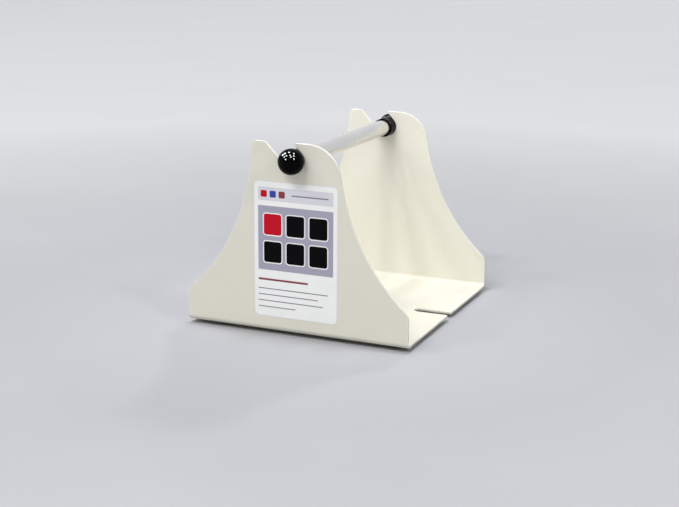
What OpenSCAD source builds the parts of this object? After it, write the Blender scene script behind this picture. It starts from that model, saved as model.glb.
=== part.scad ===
// Label roll holder: a bent sheet-steel bracket with two slotted side plates, and an
// axle with ball knobs that lifts out of the slots to take a roll of labels.
// Z is up, Y runs along the axle, the front plate is at -Y and the slots open towards -X.

/* [Bracket] */
// Width of the bracket, along X
bracket_w = 177.8; // [160:0.1:220]
// Clear width between the two side plates, along Y
inside_w = 177.8; // [100:0.1:260]
// Thickness of the sheet steel
sheet_t = 1.9; // [1.2:0.1:3]
// Inside radius of the two bends
bend_r = 2.4; // [1:0.1:5]
// Height of the side plates above the floor of the bracket
plate_h = 139.7; // [135:0.1:160]
// Width of a side plate at the tops of its hollow flanks
plate_top_w = 68.6; // [66:0.1:80]
// Radius of the hollow flanks
flank_r = 152.4; // [130:0.1:180]
// Radius of the round shoulder behind the slot
shoulder_r = 25.4; // [5:0.1:28]
// Radius of the small corner ahead of the slot
horn_r = 4; // [1:0.1:6]
// Radius at the toe of each flank
toe_r = 9.5; // [2:0.1:15]

/* [Slots] */
// Depth of the axle's middle in its slots, below the top of the side plates
axle_drop = 12.4; // [9:0.1:24]
// Width of the slots
slot_w = 15.875; // [14:0.025:18]
// Lean of the slots from upright, towards -X
slot_lean = 45; // [35:1:50]
// Radius on the corners of a slot's mouth
mouth_r = 1; // [0.3:0.1:2]

/* [Base notch] */
// Width of the notch in the edge of the base
notch_w = 7.94; // [3:0.02:12]
// Length of the notch from the edge to its round end
notch_l = 28.6; // [15:0.1:60]
// Radius on the corners of the notch's mouth
notch_mouth_r = 1; // [0.3:0.1:4]

/* [Axle] */
// Diameter of the polished rod
rod_d = 12.7; // [12:0.1:13.5]
// Diameter of the turned-down journals that run in the bushings
journal_d = 11.1; // [8:0.1:11.5]
// Chamfer on the shoulders of the rod
rod_chamfer = 0.4; // [0.1:0.1:0.7]
// Diameter of the threaded spigots that hold the knobs
spigot_d = 6.35; // [4:0.05:8]
// Length of the threaded spigots
spigot_l = 8; // [5:0.1:10]

/* [Bushings] */
// Length of a bushing that shows inside its side plate
bushing_reach = 9.5; // [3:0.1:20]
// Chamfer on the outer edges of a bushing
bushing_chamfer = 0.4; // [0.1:0.1:0.8]
// Gap between a bushing and the walls of its slot
slot_play = 0.14; // [0.05:0.01:0.3]
// Gap between a journal and the bore of its bushing
journal_play = 0.05; // [0.02:0.01:0.1]
// Gap at each end of a bushing
end_play = 0.25; // [0.1:0.05:0.5]

/* [Ball knobs] */
// Diameter of the ball knobs
ball_d = 19.05; // [18.5:0.05:30]
// Gap between a ball and the edge of the slot that it hangs over
ball_play = 0.3; // [0.1:0.05:2]
// Diameter of the brass insert in a knob
insert_d = 9; // [8.5:0.1:10.5]
// Length of the brass insert
insert_l = 9.5; // [8.5:0.1:11]
// Gap between the spigot and the thread of the insert
thread_play = 0.03; // [0.01:0.01:0.1]

/* [Feet] */
// Diameter of the bumper feet where they stick to the base
foot_d = 12.7; // [8:0.1:20]
// Height of the bumper feet
foot_h = 3; // [1.5:0.1:8]
// Slope of a foot's side, measured across its height
foot_taper = 0.6; // [0.2:0.1:1.5]
// Chamfer round the sole of a foot
foot_chamfer = 0.5; // [0.2:0.1:0.8]
// Distance from the edges of the flat base to the middle of a foot
foot_inset = 14; // [10:0.5:40]

/* [Label] */
// Width of the label on the front plate
label_w = 66.7; // [40:0.1:68]
// Height of the label
label_l = 101.6; // [50:0.1:110]
// Thickness of the label
label_t = 0.15; // [0.1:0.05:0.4]
// Corner radius of the label
label_r = 4; // [1:0.5:10]
// Height of the label's lower edge above the underside of the base
label_lift = 11.1; // [8:0.1:20]
// Distance of the label's middle from the middle of the plate
label_x = 0.8; // [-1.5:0.1:1.5]

/* [Hidden] */
$fn = 96;

// Heights from the surface that the holder stands on
floor_z = foot_h + sheet_t;
plate_top_z = floor_z + plate_h;
axle_z = plate_top_z - axle_drop;

// A hollow flank is an arc that starts upright at the top of the plate
flank_x = plate_top_w / 2 + flank_r;
flank_z = plate_top_z;

// Points where the edges of a slot reach the top of the plate
slot_half = slot_w / 2;
mouth_front_x = -slot_half * cos(slot_lean) - (axle_drop + slot_half * sin(slot_lean)) * tan(slot_lean);
mouth_back_x = slot_half * cos(slot_lean) - (axle_drop - slot_half * sin(slot_lean)) * tan(slot_lean);
slot_l = (axle_drop + slot_w) / cos(slot_lean);

// Stations along the axle, from the middle outwards
plate_out_y = inside_w / 2 + sheet_t;
bushing_d = slot_w - 2 * slot_play;
ball_r = ball_d / 2;
ball_y = plate_out_y + ball_play + sqrt(ball_r * ball_r - slot_half * slot_half);
ball_flat = sqrt(ball_r * ball_r - bushing_d * bushing_d / 4);
flat_y = ball_y - ball_flat;
bushing_out_y = flat_y - end_play;
bushing_in_y = inside_w / 2 - bushing_reach;
rod_shoulder_y = bushing_in_y - end_play;

// Overlap of an arc with the edges that it runs into, so that they join cleanly
join_lap = 0.001;

// Middles of the feet
foot_x = bracket_w / 2 - foot_inset;
foot_y = inside_w / 2 - foot_inset;

// Height of the centre of an arc of radius r that rounds the toe into the upright edge
function toe_z(r) = flank_z - sqrt(pow(flank_r + r, 2) - pow(flank_x - bracket_w / 2 + r, 2));

// Place along X of the centre of an arc of radius r that rounds a flank into the top edge
function top_corner_x(r) = flank_x - sqrt(pow(flank_r + r, 2) - pow(flank_z - plate_top_z + r, 2));

// Point at a distance and an angle from another point
function polar(from, distance, angle) = from + distance * [cos(angle), sin(angle)];

// Waste outside an arc of radius r about c, in the wedge from c through the points given
module arc_waste(c, r, points) {
    difference() {
        polygon(concat([c], points));
        translate(c) circle(r + join_lap);
    }
}

// Waste that rounds a corner at p whose edges leave at angles a and b
module corner_waste(p, a, b, r) {
    half = (b - a) / 2;
    c = polar(p, r / sin(half), a + half);
    tangent = r / tan(half);
    tips = [polar(p, tangent, a), p, polar(p, tangent, b)];
    arc_waste(c, r, [for (tip = tips) c + 2 * (tip - c)]);
}

// Rectangle with round corners, centred on its middle
module rounded_rectangle(w, l, r) {
    difference() {
        square([w, l], center = true);
        corner_waste([-w / 2, -l / 2], 0, 90, r);
        corner_waste([w / 2, -l / 2], 90, 180, r);
        corner_waste([w / 2, l / 2], 180, 270, r);
        corner_waste([-w / 2, l / 2], 270, 360, r);
    }
}

// Upright rectangle between heights bottom and top, with its two lower corners round
module rounded_trough(w, bottom, top, r) {
    difference() {
        translate([-w / 2, bottom]) square([w, top - bottom]);
        corner_waste([-w / 2, bottom], 0, 90, r);
        corner_waste([w / 2, bottom], 90, 180, r);
    }
}

// Everything beyond one flank of a side plate, with its top corner and its toe rounded
module flank_waste(corner_r) {
    corner = [top_corner_x(corner_r), plate_top_z - corner_r];
    toe = [bracket_w / 2 - toe_r, toe_z(toe_r)];
    centre = [flank_x, flank_z];
    above = plate_top_z + corner_r;
    translate(centre) circle(flank_r);
    arc_waste(corner, corner_r, [[corner.x, above], [flank_x, above], centre]);
    arc_waste(toe, toe_r, [[flank_x, toe.y], centre]);
}

// Open slot for the axle, with the corners of its mouth rounded
module slot_waste() {
    translate([0, axle_z]) circle(slot_half + join_lap);
    translate([0, axle_z]) rotate(slot_lean) translate([-slot_half, 0]) square([slot_w, slot_l]);
    corner_waste([mouth_back_x, plate_top_z], slot_lean - 90, 0, mouth_r);
    corner_waste([mouth_front_x, plate_top_z], 180, 270 + slot_lean, mouth_r);
}

// Bell-shaped outline of a side plate, seen from the front
module plate_outline() {
    difference() {
        translate([-bracket_w / 2, foot_h]) square([bracket_w, plate_top_z - foot_h]);
        flank_waste(shoulder_r);
        mirror([1, 0]) flank_waste(horn_r);
        slot_waste();
    }
}

// Bent profile of the sheet, seen from the side
module sheet_profile() {
    difference() {
        rounded_trough(inside_w + 2 * sheet_t, foot_h, plate_top_z, bend_r + sheet_t);
        rounded_trough(inside_w, floor_z, plate_top_z + sheet_t, bend_r);
    }
}

// Notch that runs in from the right edge of the base
module notch_waste() {
    edge_x = bracket_w / 2;
    half = notch_w / 2;
    end_x = edge_x - notch_l + half;
    translate([end_x, 0]) circle(half + join_lap);
    translate([end_x, -half]) square([notch_l, notch_w]);
    corner_waste([edge_x, half], 90, 180, notch_mouth_r);
    corner_waste([edge_x, -half], 180, 270, notch_mouth_r);
}

// One bent sheet: the base and the two side plates
module bracket() {
    color("#efebdc") difference() {
        intersection() {
            rotate([90, 0, 90]) linear_extrude(bracket_w, center = true) sheet_profile();
            rotate([90, 0, 0]) linear_extrude(2 * plate_out_y, center = true) plate_outline();
        }
        translate([0, 0, foot_h - sheet_t]) linear_extrude(3 * sheet_t) notch_waste();
    }
}

// Sticker on the outside of the front plate
module front_label() {
    color("white") translate([label_x, -plate_out_y, foot_h + label_lift + label_l / 2])
        rotate([90, 0, 0]) linear_extrude(label_t) rounded_rectangle(label_w, label_l, label_r);
}

// Bumper foot under one corner of the base
module foot(x_side, y_side) {
    top_r = foot_d / 2;
    sole_r = top_r - foot_taper;
    color("#2a2a2a") translate([x_side * foot_x, y_side * foot_y, 0]) rotate_extrude() polygon([
        [0, 0],
        [sole_r - foot_chamfer, 0],
        [sole_r, foot_chamfer],
        [top_r, foot_h],
        [0, foot_h]
    ]);
}

// Puts a piece that is made along Z on the axle, towards the rear or turned to the front
module on_axle(side) {
    translate([0, 0, axle_z]) rotate([0, 0, side > 0 ? 0 : 180]) rotate([-90, 0, 0]) children();
}

// Sleeve that rides in a slot and carries a journal of the rod
module bushing(side) {
    bore_r = journal_d / 2 + journal_play;
    outer_r = bushing_d / 2;
    color("#1c1c1e") on_axle(side) rotate_extrude() polygon([
        [bore_r, bushing_in_y],
        [outer_r - bushing_chamfer, bushing_in_y],
        [outer_r, bushing_in_y + bushing_chamfer],
        [outer_r, bushing_out_y - bushing_chamfer],
        [outer_r - bushing_chamfer, bushing_out_y],
        [bore_r, bushing_out_y]
    ]);
}

// Polished rod with a journal and a threaded spigot turned on each end
module axle_rod() {
    rod_r = rod_d / 2;
    half_profile = [
        [rod_r, rod_shoulder_y - rod_chamfer],
        [rod_r - rod_chamfer, rod_shoulder_y],
        [journal_d / 2, rod_shoulder_y],
        [journal_d / 2, flat_y],
        [spigot_d / 2, flat_y],
        [spigot_d / 2, flat_y + spigot_l - rod_chamfer],
        [spigot_d / 2 - rod_chamfer, flat_y + spigot_l],
        [0, flat_y + spigot_l]
    ];
    last = len(half_profile) - 1;
    other_half = [for (i = [last:-1:0]) [half_profile[i].x, -half_profile[i].y]];
    color("silver") on_axle(1) rotate_extrude() polygon(concat(half_profile, other_half));
}

// Black ball with a flat face for the axle and a blind hole for its insert
module ball_knob(side) {
    color("#101012") on_axle(side) difference() {
        translate([0, 0, ball_y]) sphere(ball_r);
        translate([0, 0, flat_y - ball_r]) cylinder(h = ball_r, r = ball_d);
        translate([0, 0, flat_y - end_play]) cylinder(h = insert_l + end_play, d = insert_d);
    }
}

// Brass insert that takes the threaded spigot
module knob_insert(side) {
    bore_r = spigot_d / 2 + thread_play;
    color("goldenrod") on_axle(side) translate([0, 0, flat_y]) difference() {
        cylinder(h = insert_l, d = insert_d);
        translate([0, 0, -end_play]) cylinder(h = insert_l + 2 * end_play, r = bore_r);
    }
}

bracket();
front_label();
foot(-1, -1);  // foot_front_left
foot(1, -1);  // foot_front_right
foot(-1, 1);  // foot_rear_left
foot(1, 1);  // foot_rear_right
bushing(-1);  // front_bushing
bushing(1);  // rear_bushing
axle_rod();
ball_knob(-1);  // front_ball_knob
ball_knob(1);  // rear_ball_knob
knob_insert(-1);  // front_knob_insert
knob_insert(1);  // rear_knob_insert
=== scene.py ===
import math

import bmesh
import bpy
from mathutils import Matrix, Vector


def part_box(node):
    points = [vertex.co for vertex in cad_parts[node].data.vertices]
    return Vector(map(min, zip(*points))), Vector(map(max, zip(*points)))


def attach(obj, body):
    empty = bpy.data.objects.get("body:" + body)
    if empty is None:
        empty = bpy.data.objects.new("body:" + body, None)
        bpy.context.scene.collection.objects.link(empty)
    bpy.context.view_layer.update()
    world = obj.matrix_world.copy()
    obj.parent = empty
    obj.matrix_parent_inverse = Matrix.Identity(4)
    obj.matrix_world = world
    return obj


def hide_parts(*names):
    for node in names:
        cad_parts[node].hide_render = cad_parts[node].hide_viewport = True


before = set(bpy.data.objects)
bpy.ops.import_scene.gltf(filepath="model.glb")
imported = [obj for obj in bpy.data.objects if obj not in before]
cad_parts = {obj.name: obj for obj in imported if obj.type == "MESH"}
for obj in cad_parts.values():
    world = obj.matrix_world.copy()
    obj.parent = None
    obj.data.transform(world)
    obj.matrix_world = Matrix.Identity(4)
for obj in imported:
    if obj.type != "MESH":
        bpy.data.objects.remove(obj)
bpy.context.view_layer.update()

# Lengths are in metres, angles in degrees and powers in watts, unless a comment says otherwise
MM = 0.001

# Camera at the photograph's viewing angle, with a sensor in millimetres
CAMERA_PLACE = Vector((0.3939, -0.9185, 0.2980))
CAMERA_AZIMUTH = 23.41
CAMERA_DOWN = 14.31
CAMERA_ROLL = 0.44
SENSOR_WIDTH = 36.0
IMAGE_WIDTH = 679
FOCAL_PIXELS = 1306.8

# Limits for meshing
WELD_GAP = 0.001 * MM
FLAT_ANGLE = 0.3
SHARP_ANGLE = 40

# Round edges of the coated bracket
EDGE_ROUNDING = 0.4 * MM
EDGE_STEPS = 3

# Ball knobs
KNOB_TURNS = 96
KNOB_STEPS = 40
KNOB_RIM = 0.5 * MM
KNOB_RIM_STEPS = 4
KNOB_HOLE_PLAY = 0.02 * MM

# Worn ring on the plates, round the axle
AXLE_LOW, AXLE_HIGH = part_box("axle_rod")
AXLE_MIDDLE = (AXLE_LOW + AXLE_HIGH) / 2
RUB_RADIUS = 8.8 * MM
RUB_FADE = 0.8 * MM
RUB_MOST = 0.5

# Label, with a thin grey band at its edge round its print
LABEL_LOW, LABEL_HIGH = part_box("front_label")
LABEL_MIDDLE = (LABEL_LOW + LABEL_HIGH) / 2
LABEL_SIZE = LABEL_HIGH - LABEL_LOW
LABEL_CORNER = 4.0 * MM
LABEL_EDGE_BAND = 0.4 * MM
PRINT_SOFTNESS = 0.06 * MM

# Ceiling lamps in rows: the first lamp's place on the ceiling, the step to the next, and how many
GLINT_CEILING = 10.0
GLINT_SIZE = 1.6
GLINT_POWER = 3200.0
GLINT_ROWS = (
    ((-14.2, -0.4), (5.8, 0.6), 4),
    ((-10.2, -7.6), (5.4, 1.8), 4),
    ((3.5, -7.0), (9.1, -1.5), 2),
    ((-9.2, -19.0), (0.0, 0.0), 1),
)

# Key lights: azimuth, elevation and power
KEY_DISTANCE = 10.0
KEY_SIZE = 1.1
KEY_LIGHTS = (
    (-60, 45, 130.0),
    (-34, 46, 145.0),
    (-18, 49, 145.0),
    (-2, 52, 145.0),
    (70, 36, 160.0),
    (180, 38, 200.0),
)

# Boom lights over the base
BOOM_HEIGHT = 0.6
BOOM_DEPTH = -0.062
BOOM_PLACES = (-0.11, 0.0, 0.11)
BOOM_SIZE = 0.06
BOOM_POWER = 0.58
BOOM_COLOUR = (0.97, 0.98, 1.08)

# Pale room, dim to bright along its axis in reflections, with one level for the camera and one for light
SKY_COLOUR = (0.96, 0.97, 1.0, 1)
SKY_AXIS = (-0.447, 0.894, 0.0)
SKY_DIM_END = -0.35
SKY_DIM = 0.42
SKY_BRIGHT = 0.86
SKY_SHOWN = 0.72
SKY_LIGHT = 0.4

# Floor, with painted shade round the object, which grows lighter from the near radius to the far one
FLOOR_SIZE = 12.0
FLOOR_NEAR = 0.25
FLOOR_FAR = 1.0


def add_object(name, data):
    made = bpy.data.objects.new(name, data)
    bpy.context.scene.collection.objects.link(made)
    return made


def add_mesh(name, build, material):
    """An object with the mesh of a bmesh, which is used up."""
    mesh = bpy.data.meshes.new(name)
    build.to_mesh(mesh)
    build.free()
    mesh.materials.append(material)
    return add_object(name, mesh)


def make_camera():
    data = bpy.data.cameras.new("camera")
    data.sensor_fit = "HORIZONTAL"
    data.sensor_width = SENSOR_WIDTH
    data.lens = FOCAL_PIXELS * SENSOR_WIDTH / IMAGE_WIDTH
    camera = add_object("camera", data)
    turn = Matrix.Rotation(math.radians(CAMERA_AZIMUTH), 4, "Z")
    tilt = Matrix.Rotation(math.radians(90 - CAMERA_DOWN), 4, "X")
    roll = Matrix.Rotation(math.radians(CAMERA_ROLL), 4, "Z")
    camera.matrix_world = Matrix.Translation(CAMERA_PLACE) @ turn @ tilt @ roll
    bpy.context.scene.camera = camera


# Materials

class Painter:
    """A new material and the few kinds of node that the materials below are made of."""

    def __init__(self, name):
        self.material = bpy.data.materials.new(name)
        self.material.use_nodes = True
        self.tree = self.material.node_tree
        self.shader = self.tree.nodes["Principled BSDF"]
        self.place = self.node("ShaderNodeTexCoord").outputs["Object"]

    def node(self, kind, **settings):
        made = self.tree.nodes.new(kind)
        for name, value in settings.items():
            setattr(made, name, value)
        return made

    def link(self, value, socket):
        """Connects an output to a socket, or sets the socket to a plain value."""
        if isinstance(value, bpy.types.NodeSocket):
            self.tree.links.new(value, socket)
        else:
            socket.default_value = value

    def noise(self, scale, detail, stretch=(1, 1, 1)):
        """Noise from 0 to 1 with about scale features in a metre, times the stretch along each axis."""
        mapping = self.node("ShaderNodeMapping")
        mapping.inputs["Scale"].default_value = stretch
        self.link(self.place, mapping.inputs["Vector"])
        made = self.node("ShaderNodeTexNoise")
        made.inputs["Scale"].default_value = scale
        made.inputs["Detail"].default_value = detail
        self.link(mapping.outputs["Vector"], made.inputs["Vector"])
        return made.outputs["Fac"]

    def spread(self, value, low, high, start, end):
        """Maps low to high onto start to end, and holds the ends."""
        made = self.node("ShaderNodeMapRange")
        self.link(value, made.inputs["Value"])
        made.inputs["From Min"].default_value = low
        made.inputs["From Max"].default_value = high
        made.inputs["To Min"].default_value = start
        made.inputs["To Max"].default_value = end
        return made.outputs["Result"]

    def blotches(self, scale, detail, low=0.35, high=0.65, start=0.0, end=1.0):
        """Noise whose values from low to high are spread over start to end."""
        return self.spread(self.noise(scale, detail), low, high, start, end)

    def calculate(self, operation, first, second):
        made = self.node("ShaderNodeMath", operation=operation)
        self.link(first, made.inputs[0])
        self.link(second, made.inputs[1])
        return made.outputs["Value"]

    def vector(self, operation, first, second=None):
        """A vector, or a number for the length of one."""
        made = self.node("ShaderNodeVectorMath", operation=operation)
        self.link(first, made.inputs[0])
        if second is not None:
            self.link(second, made.inputs[1])
        return made.outputs["Value" if operation == "LENGTH" else "Vector"]

    def mix(self, share, first, second):
        """Colour first where share is 0 and colour second where it is 1."""
        made = self.node("ShaderNodeMix", data_type="RGBA")
        self.link(share, made.inputs["Factor"])
        for name, colour in (("A", first), ("B", second)):
            socket = next(s for s in made.inputs if s.name == name and s.type == "RGBA")
            self.link(colour, socket)
        return next(s for s in made.outputs if s.type == "RGBA")

    def bump(self, height, strength, depth):
        """Adds a height to the shader's bump, over any that is there already."""
        made = self.node("ShaderNodeBump")
        made.inputs["Strength"].default_value = strength
        made.inputs["Distance"].default_value = depth
        self.link(height, made.inputs["Height"])
        normal = self.shader.inputs["Normal"]
        if normal.is_linked:
            self.link(normal.links[0].from_socket, made.inputs["Normal"])
        self.link(made.outputs["Normal"], normal)

    def set(self, name, value):
        self.link(value, self.shader.inputs[name])


def rubbed_ring(paint):
    """Where the knobs and bushings turn against the plates: up to RUB_MOST round each slot's end."""
    offset = paint.vector("SUBTRACT", paint.place, AXLE_MIDDLE)
    radius = paint.vector("LENGTH", paint.vector("MULTIPLY", offset, (1, 0, 1)))
    near = paint.spread(radius, RUB_RADIUS - RUB_FADE, RUB_RADIUS + RUB_FADE, RUB_MOST, 0.0)
    return paint.calculate("MULTIPLY", near, paint.blotches(600, 3.0, low=0.4, start=0.2))


def cream_powder_coat():
    """Baked cream powder: faint orange peel, slow tone changes, and a painted highlight along the rounded
    edges.
    """
    cream = (0.770, 0.750, 0.643, 1)
    deep_cream = (0.755, 0.735, 0.625, 1)
    pale_grain = (0.795, 0.777, 0.678, 1)
    edge_highlight_colour = (0.830, 0.816, 0.745, 1)
    worn_cream = (0.640, 0.622, 0.535, 1)
    grain_share = 0.25
    wear_polish = 0.16
    paint = Painter("cream_powder_coat")
    broad = paint.mix(paint.blotches(22, 3.0), cream, deep_cream)
    grains = paint.calculate("MULTIPLY", paint.blotches(1500, 1.0, high=0.7), grain_share)
    grained = paint.mix(grains, broad, pale_grain)
    # Painted highlight: the rounded edges are painted a lighter cream, standing in for the light they catch.
    edge = paint.node("ShaderNodeAttribute", attribute_name="edge").outputs["Fac"]
    edge_highlight = paint.calculate("MULTIPLY", edge, paint.blotches(160, 2.0, start=0.25, end=0.8))
    edge_lit = paint.mix(edge_highlight, grained, edge_highlight_colour)
    rubbed = rubbed_ring(paint)
    paint.set("Base Color", paint.mix(rubbed, edge_lit, worn_cream))
    roughness = paint.blotches(70, 4.0, low=0.3, high=0.7, start=0.34, end=0.44)
    polish = paint.calculate("MULTIPLY", rubbed, wear_polish)
    paint.set("Roughness", paint.calculate("SUBTRACT", roughness, polish))
    paint.bump(paint.noise(420, 1.0), 0.5, 0.05 * MM)
    paint.bump(paint.noise(2600, 0.0), 0.3, 0.02 * MM)
    return paint.material


def printed_box(paint, centre, size, corner):
    """1 inside a box with round corners on the label, 0 outside it; places are from the label's middle."""
    middle = LABEL_MIDDLE + Vector((centre[0], 0, centre[1]))
    inner = (size[0] / 2 - corner, 0, size[1] / 2 - corner)
    offset = paint.vector("SUBTRACT", paint.place, middle)
    flat = paint.vector("MULTIPLY", offset, (1, 0, 1))
    past = paint.vector("SUBTRACT", paint.vector("ABSOLUTE", flat), inner)
    distance = paint.vector("LENGTH", paint.vector("MAXIMUM", past, (0, 0, 0)))
    return paint.spread(distance, corner - PRINT_SOFTNESS, corner + PRINT_SOFTNESS, 1.0, 0.0)


def label_design():
    """A header with colour chips, a panel of blank label shapes, and plain rules.

    Each box holds its middle, size and corner radius in millimetres, and its colour. Later boxes lie
    over earlier ones.
    """
    lavender = (0.395, 0.386, 0.475, 1)
    pale = (0.720, 0.712, 0.755, 1)
    black = (0.002, 0.002, 0.003, 1)
    white = (0.930, 0.930, 0.910, 1)
    red = (0.560, 0.008, 0.022, 1)
    maroon = (0.260, 0.055, 0.075, 1)
    grey = (0.200, 0.200, 0.240, 1)
    blue = (0.045, 0.075, 0.360, 1)
    header_height = 41.4
    first_chip = -25.2
    chip_step = 7.2
    first_row = 18.9
    row_step = 20.6
    column_step = 18.2
    left_edge = -29.9
    first_rule = -29.6
    rule_step = 4.6
    boxes = [
        ((0.0, header_height), (59.8, 10.0), 0.8, pale),
        ((11.5, header_height), (29.0, 0.9), 0.4, grey),
        ((0.0, 8.6), (59.8, 48.0), 0.8, lavender),
        ((-9.9, -22.6), (40.0, 1.5), 0.6, maroon),
    ]
    for number, chip in enumerate((red, blue, maroon)):
        boxes.append(((first_chip + chip_step * number, header_height), (5.0, 5.0), 1.0, chip))
    for row in range(2):
        for column in range(3):
            middle = (column_step * (column - 1), first_row - row_step * row)
            boxes.append((middle, (15.8, 17.2), 2.6, white))
            boxes.append((middle, (14.2, 15.6), 1.8, red if row == column == 0 else black))
    for number, length in enumerate((56.0, 48.0, 52.0, 30.0)):
        middle = (left_edge + length / 2, first_rule - rule_step * number)
        boxes.append((middle, (length, 0.7), 0.3, grey))
    return boxes


def label_vinyl():
    """Satin white vinyl with a generic print, greyer in a thin band along its edge."""
    white = (0.935, 0.935, 0.915, 1)
    dull_white = (0.915, 0.916, 0.898, 1)
    edge_grey = (0.74, 0.74, 0.74, 1)
    paint = Painter("label_vinyl")
    colour = paint.mix(paint.blotches(90, 3.0), white, dull_white)
    for centre, size, corner, tint in label_design():
        inside = printed_box(paint, Vector(centre) * MM, Vector(size) * MM, corner * MM)
        colour = paint.mix(inside, colour, tint)
    # The label is painted grey in a thin band round its edge.
    inside_size = (LABEL_SIZE.x - 2 * LABEL_EDGE_BAND, LABEL_SIZE.z - 2 * LABEL_EDGE_BAND)
    inside_band = printed_box(paint, (0, 0), inside_size, LABEL_CORNER - LABEL_EDGE_BAND)
    paint.set("Base Color", paint.mix(inside_band, edge_grey, colour))
    paint.set("Roughness", paint.blotches(240, 3.0, low=0.3, high=0.7, start=0.30, end=0.40))
    paint.set("IOR", 1.15)
    paint.bump(paint.noise(650, 2.0), 0.06, 0.02 * MM)
    return paint.material


def ball_phenolic():
    """Moulded black phenolic with a high polish and faint handling haze."""
    black = (0.0010, 0.0010, 0.0011, 1)
    hazy_black = (0.0020, 0.0020, 0.0022, 1)
    paint = Painter("ball_phenolic")
    haze = paint.blotches(180, 4.0, low=0.4, high=0.75)
    paint.set("Base Color", paint.mix(haze, black, hazy_black))
    paint.set("Roughness", paint.blotches(500, 3.0, low=0.3, high=0.8, start=0.02, end=0.05))
    paint.set("IOR", 1.12)
    paint.bump(paint.noise(900, 2.0), 0.01, 0.01 * MM)
    return paint.material


def polished_rod():
    """Ground and polished aluminium bar with fine rings round it."""
    bright = (0.818, 0.803, 0.788, 1)
    dull = (0.783, 0.768, 0.753, 1)
    paint = Painter("polished_rod")
    rings = paint.noise(1.0, 2.0, stretch=(60, 2600, 60))
    paint.set("Base Color", paint.mix(paint.blotches(35, 3.0), bright, dull))
    paint.set("Metallic", 1.0)
    paint.set("Roughness", paint.spread(rings, 0.3, 0.7, 0.14, 0.24))
    paint.set("Anisotropic", 0.35)
    around = paint.node("ShaderNodeTangent", direction_type="RADIAL", axis="Y")
    paint.set("Tangent", around.outputs["Tangent"])
    paint.bump(rings, 0.05, 0.01 * MM)
    return paint.material


def bushing_nylon():
    """Satin black nylon with a fine moulded grain."""
    black = (0.002, 0.002, 0.0022, 1)
    grey_black = (0.005, 0.005, 0.0053, 1)
    paint = Painter("bushing_nylon")
    paint.set("Base Color", paint.mix(paint.blotches(150, 3.0), black, grey_black))
    paint.set("Roughness", paint.blotches(700, 3.0, low=0.3, high=0.7, start=0.14, end=0.22))
    paint.set("IOR", 1.1)
    paint.bump(paint.noise(1800, 2.0), 0.12, 0.02 * MM)
    return paint.material


def foot_rubber():
    """Matt black rubber with a little dust."""
    black = (0.020, 0.020, 0.020, 1)
    dusty_black = (0.050, 0.048, 0.045, 1)
    paint = Painter("foot_rubber")
    dust = paint.blotches(420, 4.0, low=0.5, high=0.8)
    paint.set("Base Color", paint.mix(dust, black, dusty_black))
    paint.set("Roughness", paint.blotches(260, 3.0, low=0.3, high=0.7, start=0.74, end=0.9))
    paint.bump(paint.noise(2200, 2.0), 0.25, 0.03 * MM)
    return paint.material


def insert_brass():
    """Machined brass with tool rings."""
    brass = (0.720, 0.500, 0.190, 1)
    tarnished_brass = (0.560, 0.370, 0.140, 1)
    paint = Painter("insert_brass")
    rings = paint.noise(1.0, 2.0, stretch=(90, 3200, 90))
    tarnish = paint.blotches(300, 3.0, low=0.4, high=0.7)
    paint.set("Base Color", paint.mix(tarnish, brass, tarnished_brass))
    paint.set("Metallic", 1.0)
    paint.set("Roughness", paint.spread(rings, 0.3, 0.7, 0.20, 0.36))
    paint.bump(rings, 0.1, 0.02 * MM)
    return paint.material


def floor_paper():
    """Pale studio paper with painted shade round the middle, growing lighter away from it."""
    painted_shade_grey = (0.430, 0.433, 0.445, 1)
    far_grey = (0.738, 0.743, 0.757, 1)
    paint = Painter("floor_paper")
    # Painted shade: the floor is darker round the object and lighter further out.
    away = paint.spread(paint.vector("LENGTH", paint.place), FLOOR_NEAR, FLOOR_FAR, 0.0, 1.0)
    mottle = paint.blotches(5, 3.0, start=-0.03, end=0.03)
    share = paint.calculate("ADD", away, mottle)
    paint.set("Base Color", paint.mix(share, painted_shade_grey, far_grey))
    paint.set("Roughness", paint.blotches(400, 2.0, low=0.3, high=0.7, start=0.75, end=0.85))
    return paint.material


# Pieces

def paint_nodes(finishes):
    """Gives each CAD node the finish of the word that its name holds."""
    for name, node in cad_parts.items():
        for word in name.split("_"):
            if word in finishes:
                node.data.materials.clear()
                node.data.materials.append(finishes[word])


def coated_bracket(material):
    """The bent bracket with the rounded edges that the coating gives its cut sheet."""
    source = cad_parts["bracket"].data
    build = bmesh.new()
    edge_mark = build.faces.layers.float.new("edge")
    corners = [build.verts.new(vertex.co) for vertex in source.vertices]
    for polygon in source.polygons:
        build.faces.new([corners[index] for index in polygon.vertices])
    bmesh.ops.remove_doubles(build, verts=build.verts, dist=WELD_GAP)
    bmesh.ops.dissolve_limit(
        build, angle_limit=math.radians(FLAT_ANGLE), verts=build.verts, edges=build.edges
    )
    sharp = [edge for edge in build.edges if edge.calc_face_angle(0) > math.radians(SHARP_ANGLE)]
    rounded = bmesh.ops.bevel(
        build, geom=sharp, affect="EDGES", offset=EDGE_ROUNDING, offset_type="OFFSET",
        segments=EDGE_STEPS, profile=0.5, clamp_overlap=True,
    )
    for face in build.faces:
        face.smooth = True
        face[edge_mark] = 0.0
    for face in rounded["faces"]:
        face[edge_mark] = 1.0
    piece = add_mesh("bracket_coated", build, material)
    normals = piece.modifiers.new("face_normals", "WEIGHTED_NORMAL")
    normals.keep_sharp = True
    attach(piece, "bracket")
    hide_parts("bracket")


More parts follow.
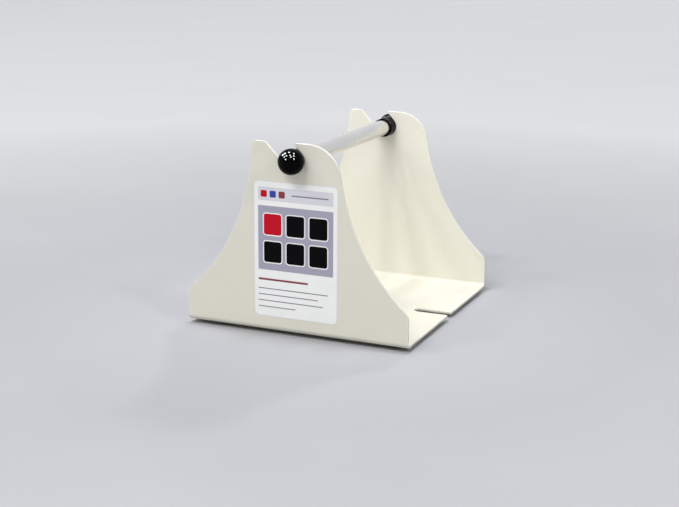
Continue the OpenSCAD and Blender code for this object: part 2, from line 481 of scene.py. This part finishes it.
def knob_profile(radius, flat, hole_radius, hole_end):
    """Radii and distances out from the ball's middle, from its pole to the end of its blind hole."""
    corner = Vector((math.sqrt(radius ** 2 - flat ** 2), flat))
    last = math.acos(flat / radius) - KNOB_RIM / radius
    arc = [last * step / KNOB_STEPS for step in range(KNOB_STEPS + 1)]
    points = [Vector((radius * math.sin(angle), radius * math.cos(angle))) for angle in arc]
    start = points[-1]
    end = Vector((corner.x - KNOB_RIM, flat))
    for step in range(1, KNOB_RIM_STEPS + 1):
        share = step / KNOB_RIM_STEPS
        points.append(start.lerp(corner, share).lerp(corner.lerp(end, share), share))
    return points + [Vector((hole_radius, flat)), Vector((hole_radius, hole_end)), Vector((0.0, hole_end))]


def turned_form(profile, middle, outward):
    """A profile that starts and ends on the axle's line, turned about it through the middle."""
    build = bmesh.new()
    rings = []
    for radius, along in profile:
        turns = KNOB_TURNS if radius > WELD_GAP else 1
        ring = []
        for number in range(turns):
            angle = 2 * math.pi * number / turns
            offset = Vector((radius * math.cos(angle), outward * along, radius * math.sin(angle)))
            ring.append(build.verts.new(middle + offset))
        rings.append(ring)
    for first, second in zip(rings, rings[1:]):
        for number in range(KNOB_TURNS):
            after = number + 1
            corners = [
                first[number % len(first)], first[after % len(first)],
                second[after % len(second)], second[number % len(second)],
            ]
            build.faces.new(list(dict.fromkeys(corners))).smooth = True
    bmesh.ops.recalc_face_normals(build, faces=build.faces)
    return build


def turned_knob(end, outward, material):
    """A ball knob with a smooth pole, a rounded rim at its flat face and a blind hole for its insert."""
    low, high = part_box(end + "_ball_knob")
    hole_low, hole_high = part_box(end + "_knob_insert")
    radius = (high.x - low.x) / 2
    pole, flat, hole_face = (high.y, low.y, hole_high.y) if outward > 0 else (low.y, high.y, hole_low.y)
    middle = Vector(((low.x + high.x) / 2, pole - outward * radius, (low.z + high.z) / 2))
    hole_radius = (hole_high.x - hole_low.x) / 2 + KNOB_HOLE_PLAY
    hole_end = outward * (hole_face - middle.y) + KNOB_HOLE_PLAY
    profile = knob_profile(radius, outward * (flat - middle.y), hole_radius, hole_end)
    piece = add_mesh(end + "_turned_knob", turned_form(profile, middle, outward), material)
    piece.data.set_sharp_from_angle(angle=math.radians(SHARP_ANGLE))
    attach(piece, "axle")
    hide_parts(end + "_ball_knob")
    return piece


# Studio

def make_floor():
    build = bmesh.new()
    bmesh.ops.create_grid(build, x_segments=1, y_segments=1, size=FLOOR_SIZE / 2)
    floor = add_mesh("floor", build, floor_paper())


def make_light(name, place, size, power):
    """A square light that faces the object and doesn't show in the picture."""
    data = bpy.data.lights.new(name, "AREA")
    data.shape = "SQUARE"
    data.size = size
    data.energy = power
    light = add_object(name, data)
    light.matrix_world = Matrix.Translation(place) @ place.to_track_quat("Z", "Y").to_matrix().to_4x4()
    light.visible_camera = False
    return light


def make_ceiling_lamps(mirrors):
    """Lamps that show only in the gloss of the black pieces, where each has the same size and glare."""
    black_pieces = bpy.data.collections.new("black_pieces")
    for piece in mirrors:
        black_pieces.objects.link(piece)
    for first, step, count in GLINT_ROWS:
        for number in range(count):
            place = Vector((first[0] + step[0] * number, first[1] + step[1] * number, GLINT_CEILING))
            further = place.length / GLINT_CEILING
            lamp = make_light("ceiling_lamp", place, GLINT_SIZE * further, GLINT_POWER * further ** 2)
            lamp.visible_diffuse = False
            lamp.light_linking.receiver_collection = black_pieces


def make_soft_lights():
    """Key lights round the object and boom lights over its base, which don't show in reflections."""
    for azimuth, elevation, power in KEY_LIGHTS:
        turn = Matrix.Rotation(math.radians(azimuth), 3, "Z")
        lift = Matrix.Rotation(math.radians(-elevation), 3, "X")
        place = turn @ lift @ Vector((0, -KEY_DISTANCE, 0))
        make_light("key_light", place, KEY_SIZE, power).visible_glossy = False
    for across in BOOM_PLACES:
        place = Vector((across, BOOM_DEPTH, BOOM_HEIGHT))
        boom = make_light("boom_light", place, BOOM_SIZE, BOOM_POWER)
        boom.data.color = BOOM_COLOUR
        boom.visible_glossy = False


def make_sky():
    """A pale room that reflections show brightest at its back left, and that lights matt surfaces evenly."""
    world = bpy.data.worlds.new("world")
    bpy.context.scene.world = world
    world.use_nodes = True
    nodes = world.node_tree.nodes
    links = world.node_tree.links
    sky = nodes["Background"]
    sky.inputs["Color"].default_value = SKY_COLOUR
    towards = nodes.new("ShaderNodeVectorMath")
    towards.operation = "DOT_PRODUCT"
    towards.inputs[1].default_value = SKY_AXIS
    links.new(nodes.new("ShaderNodeTexCoord").outputs["Generated"], towards.inputs[0])
    room = nodes.new("ShaderNodeMapRange")
    room.inputs["From Min"].default_value = SKY_DIM_END
    room.inputs["To Min"].default_value = SKY_DIM
    room.inputs["To Max"].default_value = SKY_BRIGHT
    links.new(towards.outputs["Value"], room.inputs["Value"])
    path = nodes.new("ShaderNodeLightPath")
    strength = room.outputs["Result"]
    for kind, level in (("Is Diffuse Ray", SKY_LIGHT), ("Is Camera Ray", SKY_SHOWN)):
        choice = nodes.new("ShaderNodeMapRange")
        links.new(path.outputs[kind], choice.inputs["Value"])
        links.new(strength, choice.inputs["To Min"])
        choice.inputs["To Max"].default_value = level
        strength = choice.outputs["Result"]
    links.new(strength, sky.inputs["Strength"])


make_camera()
finishes = {
    "bracket": cream_powder_coat(),
    "label": label_vinyl(),
    "foot": foot_rubber(),
    "bushing": bushing_nylon(),
    "rod": polished_rod(),
    "ball": ball_phenolic(),
    "insert": insert_brass(),
}
paint_nodes(finishes)
coated_bracket(finishes["bracket"])
knobs = [turned_knob("front", -1, finishes["ball"]), turned_knob("rear", 1, finishes["ball"])]
make_floor()
make_ceiling_lamps(knobs + [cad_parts["front_bushing"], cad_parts["rear_bushing"]])
make_soft_lights()
make_sky()
bpy.context.scene.view_settings.view_transform = "Standard"
